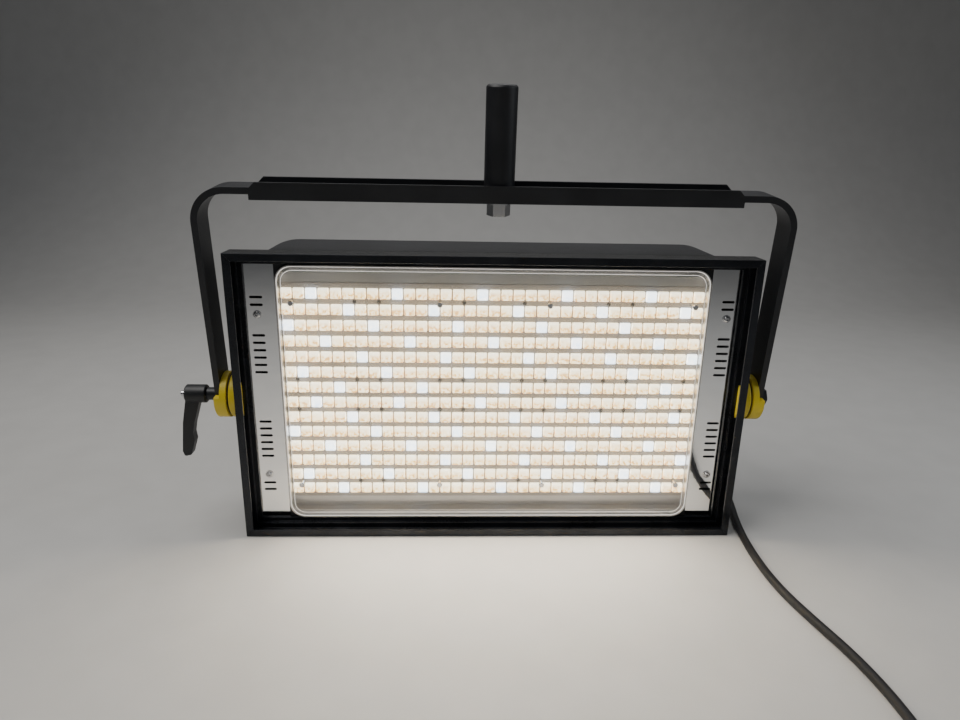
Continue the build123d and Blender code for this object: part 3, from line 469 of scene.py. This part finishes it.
def wound(angle):
    """Radius and height of the winding at a turned angle, eased between its stretches."""
    for (a0, r0, z0), (a1, r1, z1) in zip(WINDING, WINDING[1:]):
        if angle <= a1:
            t = (angle - a0) / (a1 - a0)
            t = t * t * (3 - 2 * t)
            return r0 + (r1 - r0) * t, z0 + (z1 - z0) * t
    return WINDING[-1][1:]


coil_points = []
step = 360 / PER_TURN
# The points stand a little outside the winding, so that the curve between them follows it.
outset = 1 / cos(pi / PER_TURN)
for i in range(1, int(WINDING[-1][0] / step) + 1):
    radius, height = wound(i * step)
    angle = radians(COIL_START - i * step)
    reach = radius * outset
    coil_points.append(COIL_CENTRE + Vector((reach * cos(angle), reach * sin(angle), height)))
tail = [PLUG_AT + Vector(offset) for offset in CORD_TAIL]

curve = bpy.data.curves.new("mains_cord", "CURVE")
curve.dimensions = "3D"
curve.bevel_depth = CORD_D / 2
curve.bevel_resolution = 5
curve.use_fill_caps = True
curve.resolution_u = 8
spline = curve.splines.new("NURBS")
route = [Vector(p) for p in CORD_ROUTE] + coil_points + tail
spline.points.add(len(route) - 1)
for point, place in zip(spline.points, route):
    point.co = (*place, 1)
spline.order_u = 3
spline.use_endpoint_u = True
mains_cord = bpy.data.objects.new("mains_cord", curve)
bpy.context.collection.objects.link(mains_cord)
dress(mains_cord, "head", "cord_black")
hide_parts("power_cord", "power_cord_coil")

# Distance from the cord's entry and radius, in mm.
PLUG_BODY = [
    (0.0, 3.6),
    (0.0, 4.6),
    (0.6, 5.0),
    (24.0, 6.0),
    (28.0, 6.6),
    (33.0, 9.2),
    (37.0, 12.4),
    (41.0, 14.6),
    (44.5, 17.0),
    (46.0, 17.6),
    (48.0, 17.7),
    (49.0, 17.0),
    (50.5, 17.0),
    (51.5, 17.7),
    (53.0, 17.0),
    (54.5, 17.0),
    (55.5, 17.7),
    (60.8, 17.7),
    (61.7, 17.2),
    (62.0, 16.4),
    (62.0, 2.0),
]
plug = turned("plug_body", [PLUG_AT], (-1, 0, 0), PLUG_BODY, 48)
sharpen(plug)
dress(plug, "head", "cord_black")
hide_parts("mains_plug")

# Strain relief: a flange, then a sleeve that tapers in rings.
RELIEF_AT = (0.190, 0.075, 0.034)
RELIEF_RINGS = 7
RELIEF_PITCH = 4.4
RELIEF_TAPER = 0.34
relief_profile = [(0.0, 4.3), (0.0, 12.2), (0.8, 13.0), (4.8, 13.0), (6.0, 11.8), (6.0, 8.0)]
for ring in range(RELIEF_RINGS):
    start = 8.0 + ring * RELIEF_PITCH
    radius = 7.8 - ring * RELIEF_TAPER
    groove = radius - 0.9
    relief_profile += [(start, radius), (start + 0.6, groove)]
    relief_profile += [(start + 1.6, groove), (start + 2.2, radius - 0.1)]
relief_profile += [(41.0, 5.2), (42.0, 4.8), (42.0, 3.6)]
relief = turned("cord_relief", [RELIEF_AT], (0, 1, 0), relief_profile, 40)
sharpen(relief)
dress(relief, "head", "cord_black")
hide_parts("strain_relief")

# A cloth tie around the coil, as a band with rounded corners in the coil's cross-section.
TIE_ANGLE = radians(120)
TIE_HALF_W = 7 * MM
TIE_T = 0.9 * MM
TIE_CENTRE_R, TIE_CENTRE_Z = 44.2 * MM, 12.0 * MM
TIE_HALF_R, TIE_HALF_Z, TIE_CORNER = 9.2 * MM, 11.8 * MM, 3.2 * MM
tie_outline = rounded_outline(TIE_HALF_R, TIE_HALF_Z, TIE_CORNER, 6)
tie_out = Vector((cos(TIE_ANGLE), sin(TIE_ANGLE), 0))
tie_side = Vector((-sin(TIE_ANGLE), cos(TIE_ANGLE), 0))
tie_verts = []
for r, z, out_r, out_z in tie_outline:
    for side, depth in ((-1, 0), (1, 0), (1, TIE_T), (-1, TIE_T)):
        tie_r = TIE_CENTRE_R + r + out_r * depth
        tie_z = max(FLOOR_GAP, TIE_CENTRE_Z + z + out_z * depth)
        across = tie_out * tie_r + tie_side * (side * TIE_HALF_W)
        tie_verts.append(COIL_CENTRE + across + Vector((0, 0, tie_z)))
tie = add_mesh("cord_tie", tie_verts, ring_faces(len(tie_outline), 4, closed=True))
sharpen(tie)
dress(tie, "head", "cord_black", TIE_CLOTH)


# ------------------------------------------------------------------ LED lenses

COLS, ROWS, PER_TILE = 35, 14, 7
LENS_POINTS = 16
# How far the LED board lies behind the front of the head, in mm.
BOARD_DEPTH = 29.4
# Each ring of a lens: half its width, corner radius, distance behind the head's front (mm).
LENS_RINGS = (
    (5.2, 0.8, BOARD_DEPTH),
    (5.0, 0.9, 26.9),
    (4.75, 1.1, 26.35),
    (4.2, 1.3, 26.1),
    (2.2, 1.4, 26.0),
)


def grid_place(col, row):
    """Where a column and a row of the lens grid cross: x and z."""
    return (col - (COLS - 1) / 2) * PITCH_X, HEAD_MID + ((ROWS - 1) / 2 - row) * PITCH_Z


def lens_array(name, node, slot, cool):
    """All lenses of one colour as one piece: domed squares with rounded edges."""
    verts, faces = [], []
    for row in range(ROWS):
        for col in range(COLS):
            in_cool_place = col % PER_TILE == (2 + 3 * (row % PER_TILE)) % 8
            if in_cool_place != cool:
                continue
            x, z = grid_place(col, row)
            base = len(verts)
            for half, corner, depth in LENS_RINGS:
                for dx, dz, _, _ in rounded_outline(half, half, corner, LENS_POINTS // 4 - 1):
                    verts.append((x + dx * MM, FRONT_Y + depth * MM, z + dz * MM))
            faces += ring_faces(len(LENS_RINGS), LENS_POINTS, base)
            last_ring = base + (len(LENS_RINGS) - 1) * LENS_POINTS
            faces.append([last_ring + i for i in range(LENS_POINTS)])
    obj = add_mesh(name, verts, faces)
    dress(obj, "head", slot)
    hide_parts(node)


lens_array("lenses_warm", "warm_lenses", "lens_warm", False)
lens_array("lenses_cool", "cool_lenses", "lens_cool", True)

# Small dark screws in the board holes that the cover's own screws leave free.
COVER_SCREWS = {(step, row) for step in (0.5, 12.5, 21.5, 33.5) for row in (0.5, 12.5)}
board_screws = []
for tile_col in range(5):
    for tile_row in range(2):
        for dx in (0.5, 5.5):
            for dz in (0.5, 5.5):
                col, row = tile_col * PER_TILE + dx, tile_row * PER_TILE + dz
                if (col, row) not in COVER_SCREWS:
                    x, z = grid_place(col, row)
                    board_screws.append((x, FRONT_Y + BOARD_DEPTH * MM, z))
BOARD_SCREW = [(-0.4, 1.3), (0.0, 2.0), (0.5, 2.0), (1.0, 1.6), (1.1, 0.9), (0.6, 0.8), (0.6, 0.1)]
screws = turned("board_screws", board_screws, (0, -1, 0), BOARD_SCREW, 16)
sharpen(screws)
dress(screws, "head", "screw_steel", SCREW_DARK)

# Screws of the side plates: a washer, then a domed head with a deep socket.
PLATE_SCREW_INSET = 23 * MM
PLATE_DEPTH = 20 * MM
PLATE_SCREW_RISE = 85.4 * MM
PLATE_SCREW = [(0.0, 4.1), (0.5, 4.1), (0.6, 3.0), (1.7, 2.9), (2.4, 2.3), (2.5, 1.5), (0.8, 1.4), (0.8, 0.1)]
plate_places = [
    (side * (HEAD_HALF_W - PLATE_SCREW_INSET), FRONT_Y + PLATE_DEPTH, HEAD_MID + level * PLATE_SCREW_RISE)
    for side in (-1, 1)
    for level in (-1, 1)
]
plate_heads = turned("plate_screw_heads", plate_places, (0, -1, 0), PLATE_SCREW, 24)
sharpen(plate_heads)
dress(plate_heads, "head", "screw_steel")
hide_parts("plate_screws")


# The lever's spring, as a round wire of fixed length; the real spring shortens when the handle is pulled out.
SPRING_START = Vector((-301.45 * MM, 0, HEAD_MID))
SPRING_L, SPRING_TURNS, SPRING_R, WIRE_R = 9.1 * MM, 5, 3.2 * MM, 0.45 * MM
SPRING_STEPS = SPRING_TURNS * 20
WIRE_SIDES = 8
spring_verts = []
for i in range(SPRING_STEPS + 1):
    turn = 2 * pi * SPRING_TURNS * i / SPRING_STEPS
    out = Vector((0, cos(turn), sin(turn)))
    centre = SPRING_START + Vector((-SPRING_L * i / SPRING_STEPS, 0, 0)) + out * SPRING_R
    for side in range(WIRE_SIDES):
        angle = 2 * pi * side / WIRE_SIDES
        spring_verts.append(centre + out * (WIRE_R * cos(angle)) + Vector((WIRE_R * sin(angle), 0, 0)))
spring_faces = ring_faces(SPRING_STEPS + 1, WIRE_SIDES)
last_ring = WIRE_SIDES * SPRING_STEPS
spring_faces += [list(range(WIRE_SIDES)), list(range(last_ring, last_ring + WIRE_SIDES))]
spring = add_mesh("lever_spring_wire", spring_verts, spring_faces)
dress(spring, "lever_stud", "zinc_steel")
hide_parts("lever_spring")
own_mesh(spring)


# How far the cover's rims lie behind the front of the head, in mm.
RIM_DEPTH = 18.2


def rim_loop(name, width, height, corner, thickness):
    """A thin bead along a rounded rectangle that is centred on the head, with painted glow standing for the
    light along the clear cover's edges; sizes in mm.
    """
    outline = rounded_outline(width / 2, height / 2, corner, 8)
    verts = []
    for x, z, out_x, out_z in outline:
        for side in range(8):
            turn = pi * side / 4
            out, back = thickness * cos(turn), thickness * sin(turn)
            rim_x, rim_z = (x + out_x * out) * MM, (z + out_z * out) * MM
            verts.append((rim_x, FRONT_Y + (RIM_DEPTH + back) * MM, HEAD_MID + rim_z))
    bead = add_mesh(name, verts, ring_faces(len(outline), 8, closed=True))
    dress(bead, "head", "clear_plastic", RIM_PAINTED_GLOW)


# Painted light: emission on the cover's edge beads stands for LED light and highlights caught along the clear
# pane's edges.
RIM_PAINTED_GLOW = Look("rim_painted_glow", Emission_Strength=0.9, Emission_Color=(1.0, 0.96, 0.90, 1)).finish(
      (0.85, 0.84, 0.82), rough=(0.10, 0.20), grain=90, depth=0.00001, variation=0.05
  )
rim_loop("cover_edge", 420.2, 266.2, 14.6, 0.35)
rim_loop("cover_edge_inner", 412.4, 258.4, 11.0, 0.22)

# ------------------------------------------------------------------ rounded edges

# Width of the rounding in mm, and the nodes that get it.
ROUNDED = (
    (0.6, ("frame_left", "frame_right", "frame_top", "frame_bottom")),
    (0.8, ("yoke_bar", "spigot")),
    (0.7, ("tilt_disc_inner_left", "tilt_disc_inner_right", "tilt_disc_outer_left", "tilt_disc_outer_right")),
    (0.5, ("yoke_channel", "rear_housing", "spigot_nut", "pivot_bolt_right", "lever_stud", "power_rocker")),
)
for width, nodes in ROUNDED:
    for node in nodes:
        softened(node, width * MM)
softened("clamp_lever", 1.2 * MM, 3)

# ------------------------------------------------------------------ floor and backdrop

SWEEP_R = 0.7
SWEEP_Y = 1.0
SWEEP_HALF_W = 14
SWEEP_FRONT = -9.0
SWEEP_TOP = 7.0
sweep = [(SWEEP_FRONT, 0.0), (0.0, 0.0), (SWEEP_Y, 0.0)]
for degrees in range(6, 91, 6):
    turn = radians(degrees)
    sweep.append((SWEEP_Y + SWEEP_R * sin(turn), SWEEP_R * (1 - cos(turn))))
sweep.append((SWEEP_Y + SWEEP_R, SWEEP_TOP))
floor_verts = [(x, y, z - FLOOR_GAP) for y, z in sweep for x in (-SWEEP_HALF_W, SWEEP_HALF_W)]
floor_faces = [(2 * i, 2 * i + 1, 2 * i + 3, 2 * i + 2) for i in range(len(sweep) - 1)]
floor = add_mesh("floor", floor_verts, floor_faces)
floor.data.materials.append(FLOOR_LOOK)
